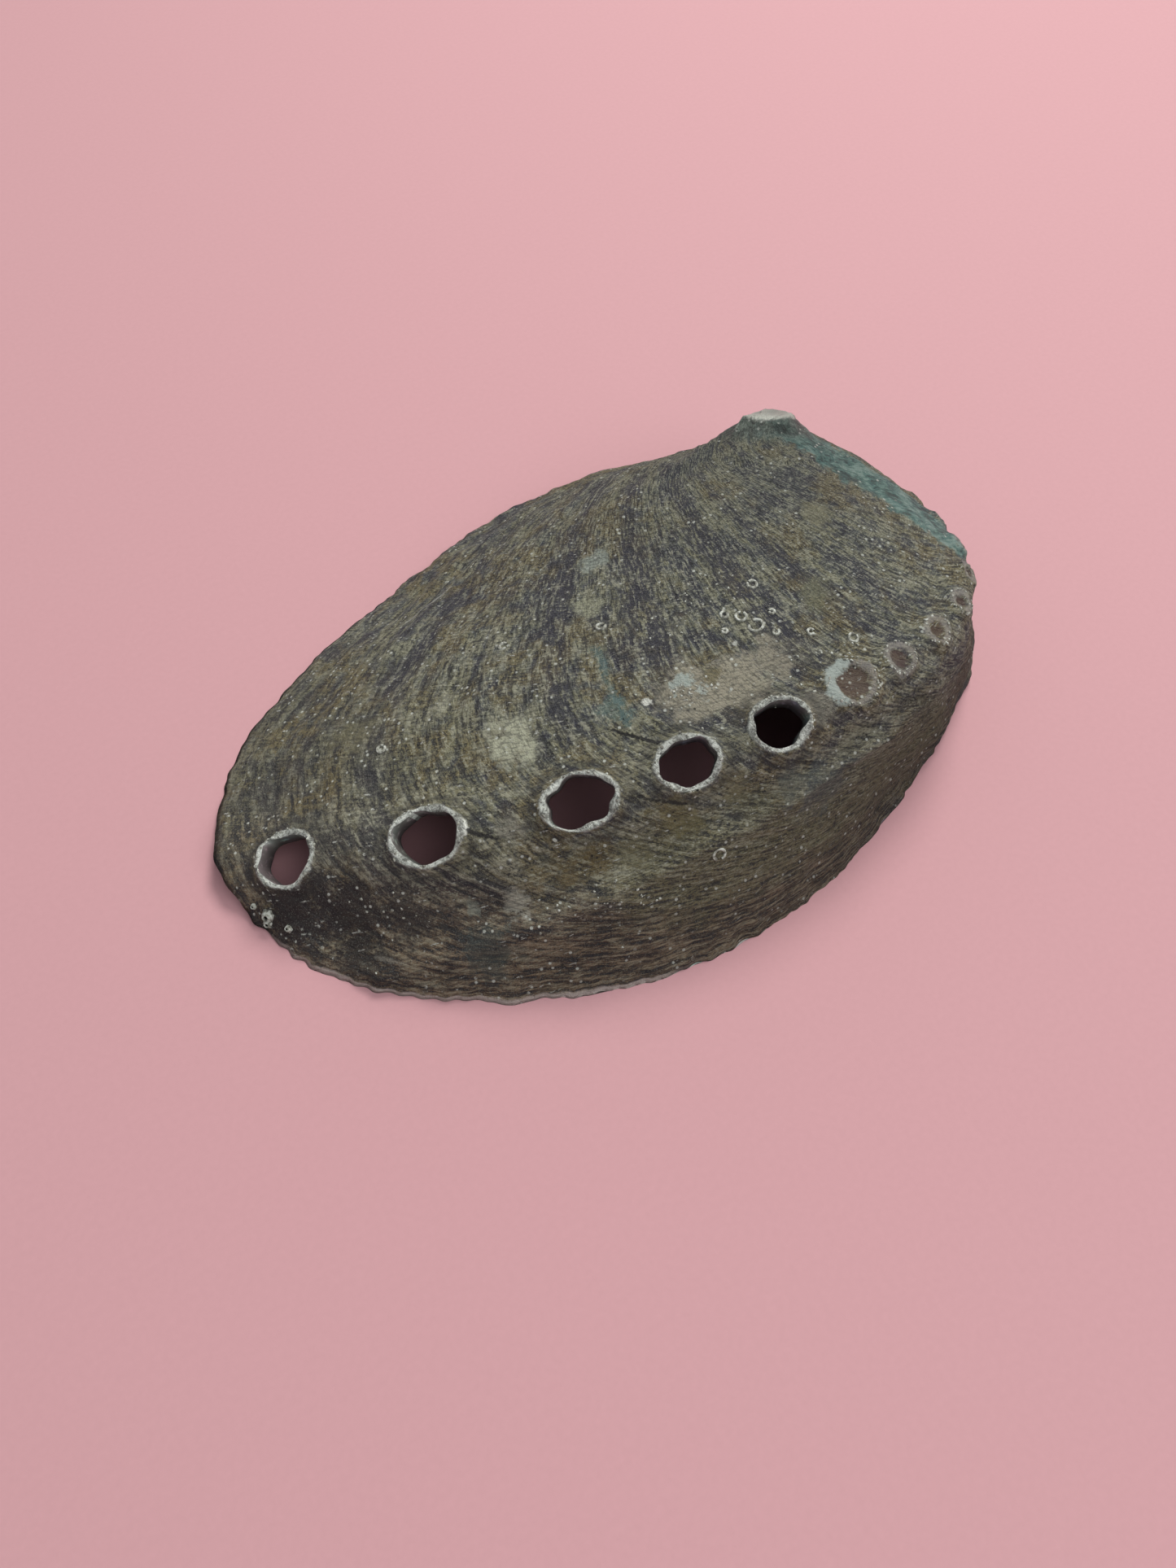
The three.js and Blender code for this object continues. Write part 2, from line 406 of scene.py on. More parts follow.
def stub_reach(outward):
    """How far out the worn stub of the spire reaches along a ray, or 0 where the ray misses it."""
    best = 0.0
    for k in range(40):
        reach = 50.0 + 0.4 * k
        arm = outward * reach - Vector(APEX)
        depth = -arm.dot(stub_axis)
        side = (arm + stub_axis * depth).length
        radius = STUB_TOP + (STUB_FOOT - STUB_TOP) * (max(depth, 0.0) / STUB_LENGTH) ** 1.3
        crown = 0.5 * (1 - min(side / STUB_TOP, 1.0) ** 2)
        if -crown <= depth <= STUB_LENGTH and side <= radius:
            best = reach
    return best


bm = bmesh.new()
bmesh.ops.create_grid(bm, x_segments=DOME_CELLS, y_segments=DOME_CELLS, size=1.0)
dome_age = np.zeros(len(bm.verts))
dome_bearing = np.zeros(len(bm.verts))
missed = 0
for vert in bm.verts:
    out, turn = disc_place(vert.co.x, vert.co.y)
    bearing = turn % (2 * math.pi)
    rim = Vector(rim_points([math.degrees(bearing)])[0])
    if out > RIM_SHARE:
        vert.co = rim
        dome_bearing[vert.index] = SEAM + (math.degrees(bearing) - SEAM) % 360
        continue
    lowest = math.atan2(rim.z, math.hypot(rim.x, rim.y))
    climb = 0.6 * (1 - out) + 0.4 * (1 - out) ** 2
    elevation = lowest + (math.pi / 2 - lowest) * climb
    hit = skin_hit(bearing, elevation)
    if hit is None:
        missed += 1
        continue
    place, dome_age[vert.index], dome_bearing[vert.index] = hit
    reach = place.length
    outward = place / reach
    if (outward * 62 - Vector(APEX)).length < STUB_RANGE:
        stub = stub_reach(outward)
        gap = stub - reach
        reach = reach + 0.5 * (gap + math.sqrt(gap * gap + 4.0)) if stub else reach
    vert.co = outward * reach
print("dome vertices", len(bm.verts), "missed", missed)

# %% [markdown]
# ## The fold under the spire
# Round the back, the wall from the shoulder to the rim is given the fullest outline that its own
# profile allows, and every place there is moved out to it along its own line of sight.

# %% Fill the fold under the spire
SHOULDER = 26.0
SECTOR = 2.0  # degrees between profiles
BACK_BEARING = 8.0
BACK_WIDTH = 72.0
BACK_FADE = 20.0
DEEPEST_FOLD = 16.0
levels = np.arange(0.0, SHOULDER + 1.0)
places = np.array([v.co for v in bm.verts])
turn_of = np.degrees(np.arctan2(places[:, 1], places[:, 0]))
flat_reach = np.hypot(places[:, 0], places[:, 1])
sectors = int(360 / SECTOR)
profile = np.zeros((sectors, len(levels)))
for k in range(sectors):
    near = np.abs((turn_of - SECTOR * k + 180) % 360 - 180) < 2.5
    points = [(0.0, float(np.hypot(*rim_points([SECTOR * k])[0][:2])))]
    for level in levels[1:]:
        here_too = near & (np.abs(places[:, 2] - level) < 0.8)
        if here_too.any():
            points.append((level, float(flat_reach[here_too].max())))
    hull = []
    for x, y in points:
        while len(hull) > 1 and ((hull[-1][0] - hull[-2][0]) * (y - hull[-2][1])
                                 >= (hull[-1][1] - hull[-2][1]) * (x - hull[-2][0])):
            hull.pop()
        hull.append((x, y))
    profile[k] = np.interp(levels, [h[0] for h in hull], [h[1] for h in hull])
for _ in range(2):
    profile = (np.roll(profile, 1, 0) + profile + np.roll(profile, -1, 0)) / 3
from_back = np.abs((turn_of - BACK_BEARING + 180) % 360 - 180)
share_of_fill = np.clip((BACK_WIDTH - from_back) / BACK_FADE, 0, 1)
share_of_fill = share_of_fill**2 * (3 - 2 * share_of_fill)
sight = np.linalg.norm(places, axis=1)
best = sight.copy()
sector_of = np.round(turn_of / SECTOR).astype(int) % sectors
for extra in np.arange(0.25, DEEPEST_FOLD, 0.25):
    tried = places * ((sight + extra) / sight)[:, None]
    low = np.clip(np.floor(tried[:, 2]).astype(int), 0, len(levels) - 2)
    part = np.clip(tried[:, 2] - low, 0, 1)
    allowed = profile[sector_of, low] * (1 - part) + profile[sector_of, low + 1] * part
    inside = (np.hypot(tried[:, 0], tried[:, 1]) <= allowed) & (tried[:, 2] < SHOULDER)
    best = np.where(inside, sight + extra, best)
moved = (best - sight) * share_of_fill
for vert, push, length in zip(bm.verts, moved, sight):
    if push > 0 and not vert.is_boundary:
        vert.co *= (length + push) / length
print("fold filled by up to", np.round(moved.max(), 1), "mm")
bmesh.ops.recalc_face_normals(bm, faces=bm.faces)
if sum(f.normal.z for f in bm.faces) < 0:
    bmesh.ops.reverse_faces(bm, faces=bm.faces)
loosened = set(np.where(moved > 0.3)[0])
# The hidden wall is what was moved, and the low wall round the spire end beyond LOW_WALL_REACH.
LOW_WALL_REACH = 62
hidden = [v for v in bm.verts if v.index in loosened and not v.is_boundary
          or (math.degrees(math.atan2(v.co.y, v.co.x)) + 40) % 360 < 115
          and not v.is_boundary and math.hypot(v.co.x, v.co.y) > LOW_WALL_REACH]
for _ in range(6):
    bmesh.ops.smooth_vert(bm, verts=hidden, factor=0.5, use_axis_x=True, use_axis_y=True, use_axis_z=True)
print("smoothed", len(hidden))

# %% [markdown]
# ## The wall
# One solidify gives the lining, a little thinner at the lip, and closes the rim. Only the outer
# side is then roughened, because the animal keeps the lining smooth.

# %% Wall and lining
WALL = 2.6
LIP_WALL = 1.3
LONGEST_STEP = 3.4
LIP_HEIGHT = 12.0
bm.normal_update()
outer_count = len(bm.verts)
outer_places = np.array([v.co for v in bm.verts])
outer_normals = np.array([v.normal for v in bm.verts])
outer_edge = np.array([v.is_boundary for v in bm.verts])
bmesh.ops.solidify(bm, geom=bm.faces[:], thickness=WALL)
bm.verts.ensure_lookup_table()
inner_places = np.array([v.co for v in bm.verts])[outer_count:]
if np.mean((inner_places - outer_places)[:, 2]) > 0:
    inner_places = 2 * outer_places - inner_places
step = inner_places - outer_places
print("wall step mean and most", np.round(np.linalg.norm(step, axis=1).mean(), 2),
      np.round(np.linalg.norm(step, axis=1).max(), 2))
long_step = np.linalg.norm(step, axis=1)
step *= np.minimum(1.0, LONGEST_STEP / np.maximum(long_step, 1e-6))[:, None]
near_lip = np.clip(outer_places[:, 2] / LIP_HEIGHT, 0, 1)
step *= (LIP_WALL / WALL + (1 - LIP_WALL / WALL) * near_lip)[:, None]
inner_places = outer_places + step
inner_places[outer_edge, 2] = outer_places[outer_edge, 2]
inner_places[:, 2] = np.maximum(inner_places[:, 2], 0.0)

# %% [markdown]
# ## Holes and relief
# Each hole of the row is an ellipse laid on the skin at its age and bearing. The five newest are
# open and wear a raised chalky collar. The older ones were filled as the animal grew past them
# and are left as knobs with a sunken middle.

# %% Holes of the row
OPEN_HOLES = [
    (-0.1, 177.7, 5.0, 4.6),
    (-0.3, 177.9, 5.7, 4.6),
    (-0.53, 178.6, 5.7, 4.2),
    (-0.73, 177.6, 4.8, 4.0),
    (-0.94, 176.6, 4.6, 4.0),
]
FILLED_HOLES = [
    (-1.17, 174.4, 4.4, 4.0),
    (-1.33, 175.5, 3.2, 3.0),
    (-1.51, 176.3, 2.8, 2.6),
    (-1.69, 177.3, 2.5, 2.3),
    (-1.88, 177.5, 2.3, 2.1),
    (-2.08, 177.8, 2.1, 1.9),
    (-2.28, 178.6, 1.8, 1.6),
    (-2.46, 179.6, 1.6, 1.4),
    (-2.64, 181.0, 1.4, 1.3),
]


def laid_on(age, bearing):
    """Centre of a place on the skin, with the directions along the row, across it and outward."""
    centre = spot(age, bearing)
    along = spot(age - 0.03, bearing) - spot(age + 0.03, bearing)
    along /= np.linalg.norm(along)
    across = spot(age, bearing + 2) - spot(age, bearing - 2)
    across -= along * (across @ along)
    across /= np.linalg.norm(across)
    outward = np.cross(along, across)
    if outward[2] < 0:
        outward, across = -outward, -across
    return centre, along, across, outward


def edge_distance(places, holes):
    """Millimetres outside the edge of the nearest hole, and negative inside it."""
    nearest = np.full(len(places), 99.0)
    for age, bearing, half_along, half_across in holes:
        centre, along, across, outward = laid_on(age, bearing)
        arm = places - centre
        share = np.hypot(arm @ along / half_along, arm @ across / half_across)
        distance = (share - 1) * 0.5 * (half_along + half_across)
        distance[np.abs(arm @ outward) > 9] = 99.0
        nearest = np.minimum(nearest, distance)
    return nearest


def wander(places, seed=0.0):
    return np.array([noise.noise(Vector((p[0] + seed, p[1] - seed, p[2] + 3 * seed))) for p in places])


# %% Relief
growth = np.column_stack([
    np.cos(np.radians(dome_bearing)), np.sin(np.radians(dome_bearing)), dome_age,
])
size_then = np.clip(np.exp(log_scale(dome_age)), 0.2, 1.0)
collar = edge_distance(outer_places, OPEN_HOLES)
filled = edge_distance(outer_places, FILLED_HOLES)
row_offset = (dome_bearing - ROW_BEARING)

relief = 0.6 * wander(growth * [2.2, 2.2, 16]) + 0.35 * wander(growth * [3, 3, 38], 5)
relief += 0.15 * wander(growth * [22, 22, 4], 9)
relief *= size_then
relief += 0.55 * wander(outer_places * 0.1, 2) + 0.22 * wander(outer_places * 0.35, 7)
ragged = 0.35 * wander(outer_places * 0.5, 4)
relief += (1.15 + 1.3 * ragged) * np.exp(-((collar - 0.4) / 0.75) ** 2)
relief += (1.3 + 1.2 * ragged) * np.exp(-((filled + 0.2) / 1.1) ** 2) * size_then**0.5
relief -= 0.5 * np.clip(-filled - 1.0, 0, 1.5) * size_then**0.5
relief -= 0.8 * np.exp(-((row_offset - 15) / 5.5) ** 2) * (dome_age > -1.2) * (dome_age < -0.05)
relief += 0.7 * np.exp(-((row_offset - 24) / 4.0) ** 2) * (dome_age > -1.0) * (dome_age < -0.03)
relief *= np.clip(outer_places[:, 2] / 2.0 + 0.15, 0, 1)
shown_places = outer_places + outer_normals * relief[:, None]

rim_turn = np.arctan2(outer_places[:, 1], outer_places[:, 0])
rim_way = np.column_stack([np.cos(rim_turn), np.sin(rim_turn), np.zeros(outer_count)])
left_end = np.exp(-((np.degrees(rim_turn) % 360 - 188) / 16.0) ** 2)
rim_push = (0.7 * wander(rim_way * 9, 11) + 0.45 * wander(rim_way * 30, 12) + 0.1) * (1 + 1.2 * left_end)
rim_push = rim_push * np.clip(1 - outer_places[:, 2] / 7.0, 0, 1)
shown_places += rim_way * rim_push[:, None]
inner_places += rim_way * rim_push[:, None]
shown_places[:, 2] = np.maximum(shown_places[:, 2], 0.0)
for k, place in enumerate(np.vstack([shown_places, inner_places])):
    bm.verts[k].co = (place - MIDDLE) * MM
bmesh.ops.recalc_face_normals(bm, faces=bm.faces)
wall_mesh = bpy.data.meshes.new("shell_wall")
bm.to_mesh(wall_mesh)
bm.free()
wall = bpy.data.objects.new("shell_wall", wall_mesh)
bpy.context.collection.objects.link(wall)
print("relief from", np.round(relief.min(), 2), "to", np.round(relief.max(), 2))

# %% [markdown]
# ## Piercing the row
# The cutters are short cylinders with a wobbly outline. One boolean takes them all from the wall.

# %% Cut the open holes
bm = bmesh.new()
random.seed(7)
for age, bearing, half_along, half_across in OPEN_HOLES:
    centre, along, across, outward = laid_on(age, bearing)
    made = bmesh.ops.create_cone(bm, cap_ends=True, segments=36, radius1=0.92, radius2=1.04, depth=14)
    waves = [(random.uniform(0.02, 0.055), k, random.uniform(0, 6.28)) for k in (2, 3, 5, 7)]
    frame_of_hole = Matrix((
        (along[0], across[0], outward[0]),
        (along[1], across[1], outward[1]),
        (along[2], across[2], outward[2]),
    ))
    for vert in made["verts"]:
        turn = math.atan2(vert.co.y, vert.co.x)
        wobble = 1 + sum(size * math.sin(k * turn + start) for size, k, start in waves)
        local = Vector((vert.co.x * half_along * wobble, vert.co.y * half_across * wobble, vert.co.z))
        vert.co = (frame_of_hole @ local + Vector(centre - MIDDLE)) * MM
bmesh.ops.recalc_face_normals(bm, faces=bm.faces)
cutter_mesh = bpy.data.meshes.new("hole_cutters")
bm.to_mesh(cutter_mesh)
bm.free()
cutter = bpy.data.objects.new("hole_cutters", cutter_mesh)
bpy.context.collection.objects.link(cutter)
cut = wall.modifiers.new("holes", "BOOLEAN")
cut.operation = "DIFFERENCE"
cut.solver = "MANIFOLD"
cut.object = cutter
bpy.context.view_layer.update()
cut_mesh = bpy.data.meshes.new_from_object(wall.evaluated_get(bpy.context.evaluated_depsgraph_get()))
print("wall", len(wall_mesh.polygons), "faces; pierced", len(cut_mesh.polygons))
if len(cut_mesh.polygons) < 0.5 * len(wall_mesh.polygons):
    raise RuntimeError("the holes were not cut")
bpy.data.objects.remove(wall)
bpy.data.objects.remove(cutter)
cut_mesh.name = "shell"
shell = bpy.data.objects.new("abalone_shell", cut_mesh)
bpy.context.collection.objects.link(shell)

# %% [markdown]
# ## Growth written on the mesh
# Every vertex carries its bearing as a cosine and a sine together with its age, so the finishes
# can run along growth lines and cords without a seam. It also carries its distance from the
# nearest open hole and filled hole, and how deep it lies in the wall.

# %% Growth attributes
outer_tree = KDTree(outer_count)
inner_tree = KDTree(outer_count)
for k in range(outer_count):
    outer_tree.insert(shown_places[k], k)
    inner_tree.insert(inner_places[k], k)
outer_tree.balance()
inner_tree.balance()
final_places = np.array([v.co for v in cut_mesh.vertices]) / MM + MIDDLE
growth_of = np.zeros((len(final_places), 3))
depth_of = np.zeros(len(final_places))
for k, place in enumerate(final_places):
    found = outer_tree.find_n(place, 3)
    weights = np.array([1.0 / (distance + 1e-4) for _, _, distance in found])
    members = [index for _, index, _ in found]
    growth_of[k] = (growth[members] * weights[:, None]).sum(0) / weights.sum()
    inner_distance = inner_tree.find(place)[2]
    depth_of[k] = found[0][2] / (found[0][2] + inner_distance + 1e-6)
cut_mesh.attributes.new("growth", "FLOAT_VECTOR", "POINT").data.foreach_set("vector", growth_of.ravel())
for name, values in (
    ("collar", edge_distance(final_places, OPEN_HOLES)),
    ("filled", edge_distance(final_places, FILLED_HOLES)),
    ("depth", depth_of),
):
    cut_mesh.attributes.new(name, "FLOAT", "POINT").data.foreach_set("value", np.asarray(values, float))
cut_mesh.shade_smooth()
print("attributes", [a.name for a in cut_mesh.attributes])

# %% [markdown]
# ## The weathered outside
# The colour starts with broad bands that follow the growth lines, from blue-grey to khaki. A woven
# grain of cords and lines, pale dashes and pits goes over it. Stains, crusts, worn places and
# cracks are then laid on one by one where they lie on the skin.

# %% Outside finish


def at(point):
    """A place in the growth law's millimetres as a place in the object."""
    return tuple((np.array(point, float) - MIDDLE) * MM)


outside = Finish("weathered_shell")
here = outside.place()
warp = outside.noise(here, 260.0, 4.0, 0.6)
fine = outside.noise(here, 1500.0, 4.0, 0.75)
tiny = outside.noise(here, 4200.0, 3.0, 0.7)
blotch = outside.noise(here, 150.0, 6.0, 0.72, 0.3)
ochre = outside.noise(here, 62.0, 4.0, 0.6, 0.5)
bands = outside.noise(outside.growth(1.5, 9.0), 1.0, 5.0, 0.62, 0.3)
streaks = outside.noise(outside.growth(10.0, 40.0), 1.0, 6.0, 0.72, 0.3)
lines = outside.noise(outside.growth(12.0, 88.0), 1.0, 4.0, 0.68, 0.2)
cords = outside.noise(outside.growth(130.0, 9.0), 1.0, 3.0, 0.62, 0.2)
scales = outside.cells(outside.growth(85.0, 80.0), 1.0, randomness=0.7)
weave = lines * 0.50 + cords * 0.15 + fine * 0.35
dashes = outside.cells(outside.growth(60.0, 30.0), 1.0)
pits = outside.cells(here, 520.0)

tone = bands * 0.34 + streaks * 0.36 + blotch * 0.30
colour = outside.ramp(tone, [
    (0.425, (0.034, 0.032, 0.044, 1)),
    (0.465, (0.070, 0.076, 0.086, 1)),
    (0.500, (0.122, 0.127, 0.104, 1)),
    (0.540, (0.190, 0.180, 0.104, 1)),
    (0.590, (0.275, 0.262, 0.170, 1)),
])
dark_patch = streaks * 0.45 + blotch * 0.3 + bands * 0.25
colour = outside.mix(dark_patch.band(0.475, 0.455) * 0.7, colour, (0.030, 0.028, 0.042, 1))
pale_patch = streaks * 0.4 + blotch * 0.6
colour = outside.mix(pale_patch.band(0.525, 0.55) * 0.45, colour, (0.25, 0.25, 0.19, 1))
age = outside.age() + (warp - 0.5) * 0.05 + (blotch - 0.5) * 0.12
crown = outside.around(112.0).band(0.45, 0.80)
dark_bands = None
for middle, half_width, strength in ((-0.87, 0.10, 0.95), (-1.20, 0.09, 0.95), (-0.62, 0.06, 0.75),
                                     (-1.45, 0.07, 0.7), (-0.27, 0.05, 0.6)):
    in_band = age.near(middle, half_width) * crown * streaks.band(0.62, 0.51) * strength
    dark_bands = in_band if dark_bands is None else dark_bands.math("MAXIMUM", in_band)
colour = outside.mix(dark_bands, colour, (0.034, 0.032, 0.046, 1))
left_slope = (outside.from_spot(at((-75, 12, 5))) + (blotch - 0.5) * 30).band(52.0, 22.0)
colour = outside.mix(left_slope * 0.45, colour, (0.085, 0.072, 0.040, 1))
ochre_share = ochre.band(0.46, 0.58) * warp.band(0.4, 0.55)
colour = outside.mix(ochre_share * 0.75, colour, (0.165, 0.128, 0.050, 1))
facing_front = (outside.around(242.0) + (blotch - 0.5) * 0.9).band(0.15, 0.75)
brown = outside.ramp(lines * 0.5 + streaks * 0.5, [
    (0.42, (0.026, 0.016, 0.012, 1)),
    (0.49, (0.096, 0.061, 0.037, 1)),
    (0.57, (0.220, 0.160, 0.098, 1)),
])
low_wall = (outside.height() + (blotch - 0.5) * 12).band(19.0, 9.0)
colour = outside.mix(facing_front * (0.25 + 0.75 * low_wall), colour, brown)
khaki = (outside.from_path([at(p) for p in ((-20, -45, 14), (10, -50, 14), (40, -44, 12))])
         + (blotch - 0.5) * 18).band(11.0, 4.0)
colour = outside.mix(khaki * 0.65, colour, (0.150, 0.135, 0.066, 1))

colour = outside.mix(weave.band(0.495, 0.435) * 0.88, colour, (0.018, 0.017, 0.020, 1))
pale_thread = weave.band(0.508, 0.568) * (0.74 - 0.4 * low_wall)
colour = outside.mix(pale_thread, colour, (0.350, 0.342, 0.252, 1))
colour = outside.mix(dark_bands * weave.band(0.62, 0.50) * 0.75, colour, (0.032, 0.030, 0.044, 1))
# Each mark is its middle, its reach, how ragged its edge is, its colour and its strength.
MARKS = [
    ((-29.5, -13.5, 24), 4.6, 6.5, (0.40, 0.40, 0.29, 1), 0.95),
    ((3, 12.5, 25), 2.6, 4.5, (0.29, 0.32, 0.27, 1), 0.85),
    ((-4, 3, 26), 2.8, 4.5, (0.31, 0.31, 0.21, 1), 0.85),
    ((13, -27, 31.5), 4.2, 7.0, (0.30, 0.27, 0.20, 1), 0.85),
    ((-7.5, -5.5, 28), 1.6, 2.4, (0.085, 0.06, 0.025, 1), 0.7),
    ((-1, -25, 30), 5.6, 8.0, (0.32, 0.29, 0.215, 1), 0.9),
    ((6, -28, 31), 5.2, 7.0, (0.32, 0.29, 0.215, 1), 0.9),
    ((14, -38, 30), 2.8, 4.5, (0.23, 0.21, 0.16, 1), 0.7),
    ((3, -24, 31.5), 1.6, 2.4, (0.13, 0.105, 0.04, 1), 0.7),
    ((-13, -20, 28), 2.6, 4.0, (0.13, 0.19, 0.165, 1), 0.65),
    ((-38, -27, 22), 2.4, 4.0, (0.25, 0.235, 0.18, 1), 0.75),
    ((-28, -38, 19), 3.0, 4.0, (0.13, 0.092, 0.035, 1), 0.7),
    ((-33, -37, 17), 2.0, 3.0, (0.15, 0.108, 0.045, 1), 0.7),
    ((-22, -40, 18), 2.6, 4.0, (0.16, 0.14, 0.075, 1), 0.6),
    ((28, -20, 31), 3.4, 5.5, (0.19, 0.185, 0.105, 1), 0.6),
    ((40, -4, 30), 3.0, 5.0, (0.23, 0.215, 0.13, 1), 0.65),
    ((-50, 10, 14), 4.0, 7.0, (0.15, 0.135, 0.075, 1), 0.6),
    ((-42, -35, 13), 2.2, 6.0, (0.38, 0.36, 0.29, 1), 0.7),
    ((-47, -31, 11), 1.6, 4.0, (0.26, 0.27, 0.22, 1), 0.65),
    ((-14, -40, 23), 3.6, 6.0, (0.18, 0.15, 0.062, 1), 0.65),
    ((-4, -42, 24), 3.0, 5.0, (0.20, 0.175, 0.09, 1), 0.6),
    ((6, -45, 22), 3.0, 5.0, (0.13, 0.14, 0.12, 1), 0.5),
    ((24, -38, 27), 3.2, 6.0, (0.20, 0.195, 0.13, 1), 0.55),
    ((12, -48, 19), 5.5, 10.0, (0.072, 0.086, 0.088, 1), 0.5),
    ((-48, -37, 7), 4.5, 8.0, (0.050, 0.066, 0.060, 1), 0.6),
]
for centre, reach, ragged_by, paint, strength in MARKS:
    away = outside.from_spot(at(centre)) + (warp - 0.5) * ragged_by * 1.8 + (fine - 0.5) * ragged_by * 0.9
    colour = outside.mix(away.band(reach * 1.25, reach * 0.6) * strength, colour, paint)

# Near-black patches low on the left end of the shell, near the rim.
LOW_LEFT_DARK_PATCHES = [
    ((-73, -13, 5), 7.5, (0.014, 0.007, 0.009, 1), 0.92),
    ((-65, -19, 7), 7.0, (0.018, 0.011, 0.012, 1), 0.88),
    ((-57, -25, 8), 5.0, (0.026, 0.020, 0.020, 1), 0.7),
    ((-66, -25, 3), 4.5, (0.022, 0.016, 0.015, 1), 0.7),
]
for centre, reach, paint, strength in LOW_LEFT_DARK_PATCHES:
    away = outside.from_spot(at(centre)) + (warp - 0.5) * 14.0 + (fine - 0.5) * 10.0
    colour = outside.mix(away.band(reach * 1.3, reach * 0.6) * strength, colour, paint)
colour = outside.mix(scales.band(0.42, 0.75) * 0.5, colour, (0.035, 0.033, 0.030, 1))
colour = outside.mix(tiny.band(0.54, 0.68) * 0.35, colour, (0.34, 0.34, 0.29, 1))

fleck_spot = laid_on(*OPEN_HOLES[1][:2])
SPOTS = [
    (spot(-0.79, 160), 0.9, 1.4, (0.62, 0.62, 0.55, 1), 0.95),
    ((-2, -22.5, 30.5), 1.8, 3.6, (0.36, 0.41, 0.37, 1), 0.8),
    ((-0.5, -25.8, 30.5), 1.2, 2.4, (0.38, 0.42, 0.38, 1), 0.8),
    (fleck_spot[0] + fleck_spot[1] * 6.0 + fleck_spot[3] * 1.0, 1.5, 1.2, (0.80, 0.80, 0.72, 1), 0.95),
    ((25, -24, 31), 0.5, 0.8, (0.52, 0.52, 0.46, 1), 0.9),
    ((10, -21, 32), 0.6, 0.9, (0.52, 0.52, 0.46, 1), 0.8),
]
for centre, reach, ragged_by, paint, strength in SPOTS:
    away = outside.from_spot(at(centre)) + (warp - 0.5) * ragged_by * 2 + (fine - 0.5) * ragged_by
    colour = outside.mix(away.band(reach * 1.15, reach * 0.75) * strength, colour, paint)

STREAKS = [
    ([(-9, -7, 28), (-13, -23, 28)], 0.8, 2.0, (0.10, 0.165, 0.16, 1), 0.55),
    ([(-52, -26, 10), (-40, -38, 10)], 0.9, 2.5, (0.085, 0.11, 0.10, 1), 0.5),
    ([(-28, 31, 9), (-17, 34, 10)], 0.3, 0.8, (0.42, 0.42, 0.38, 1), 0.6),
    ([(-66, -26, 4), (-61, -31, 4), (-50, -38, 5)], 0.35, 1.0, (0.24, 0.22, 0.18, 1), 0.55),
    ([(-44, -23, 21), (-38, -30, 21), (-33, -31, 23)], 0.34, 0.6, (0.010, 0.009, 0.009, 1), 0.95),
    ([(-16, -22, 27), (-11, -30, 29)], 0.32, 0.6, (0.010, 0.009, 0.009, 1), 0.95),
    ([(-25, -18, 25), (-18, -36, 26), (-8, -42, 23)], 0.28, 0.6, (0.012, 0.011, 0.010, 1), 0.85),
]
for path, reach, ragged_by, paint, strength in STREAKS:
    away = outside.from_path([at(p) for p in path]) + (fine - 0.5) * ragged_by * 1.5
    away = away + (warp - 0.5) * ragged_by * 1.5
    colour = outside.mix(away.band(reach * 1.5, reach * 0.6) * strength, colour, paint)

# %% Worn spire, collars and specks
SPIRE_EDGE = [(52, 20, 30), (56, 11, 29), (60, 1, 27), (63, -8, 24), (65, -15, 21)]
spire_edge = outside.from_path([at(p) for p in SPIRE_EDGE])
worn_height = (outside.height() + (blotch - 0.5) * 14).band(14.0, 20.0)
worn = (spire_edge + (warp - 0.5) * 6.0 + (fine - 0.5) * 3.0 + (blotch - 0.5) * 16.0).band(6.5, 4.2)
worn = worn * worn_height
nacre_tone = outside.ramp(streaks * 0.5 + warp * 0.5, [
    (0.42, (0.035, 0.062, 0.060, 1)),
    (0.50, (0.100, 0.205, 0.180, 1)),
    (0.58, (0.240, 0.340, 0.300, 1)),
])
colour = outside.mix(worn * 0.85, colour, nacre_tone)
nub = outside.from_spot(at((51.5, 25, 31)))
nub_side = (nub + (fine - 0.5) * 3.0 + (warp - 0.5) * 3.0).band(12.0, 9.0)
nub_tone = outside.ramp(warp * 0.5 + fine * 0.5, [
    (0.42, (0.045, 0.052, 0.046, 1)),
    (0.50, (0.105, 0.135, 0.115, 1)),
    (0.60, (0.230, 0.280, 0.235, 1)),
])
colour = outside.mix(nub_side * 0.85, colour, nub_tone)
nub_top = (nub + (warp - 0.5) * 2.6 + (fine - 0.5) * 1.5).band(6.1, 5.2)
colour = outside.mix(nub_top * 0.95, colour, (0.78, 0.78, 0.68, 1))

collar_way = outside.attribute("collar")
shaded_ring = (collar_way + (warp - 0.5) * 2.0).near(2.3, 1.3)
colour = outside.mix(shaded_ring * 0.45, colour, (0.030, 0.027, 0.025, 1))
chalk_tone = outside.ramp(fine * 0.6 + warp * 0.4, [
    (0.42, (0.17, 0.17, 0.15, 1)),
    (0.49, (0.42, 0.43, 0.385, 1)),
    (0.56, (0.68, 0.70, 0.64, 1)),
])
chalk = (collar_way + (warp - 0.5) * 1.6 + (fine - 0.5) * 0.9).band(1.05, 0.65)
colour = outside.mix(chalk * 0.9, colour, chalk_tone)
filled_way = outside.attribute("filled")
filled_ring = (filled_way + 0.4).math("ABSOLUTE") + (warp - 0.5) * 2.4 + (fine - 0.5) * 1.2
colour = outside.mix(filled_ring.band(0.9, 0.3) * 0.55, colour, (0.33, 0.30, 0.27, 1))
filled_middle = (filled_way + (fine - 0.5) * 1.6 + (warp - 0.5) * 1.6).band(-0.8, -1.6)
colour = outside.mix(filled_middle * 0.75, colour, (0.090, 0.052, 0.042, 1))
big_filled = laid_on(-1.17, 174.4)
up_slope = big_filled[2] if big_filled[2][1] > 0 else -big_filled[2]
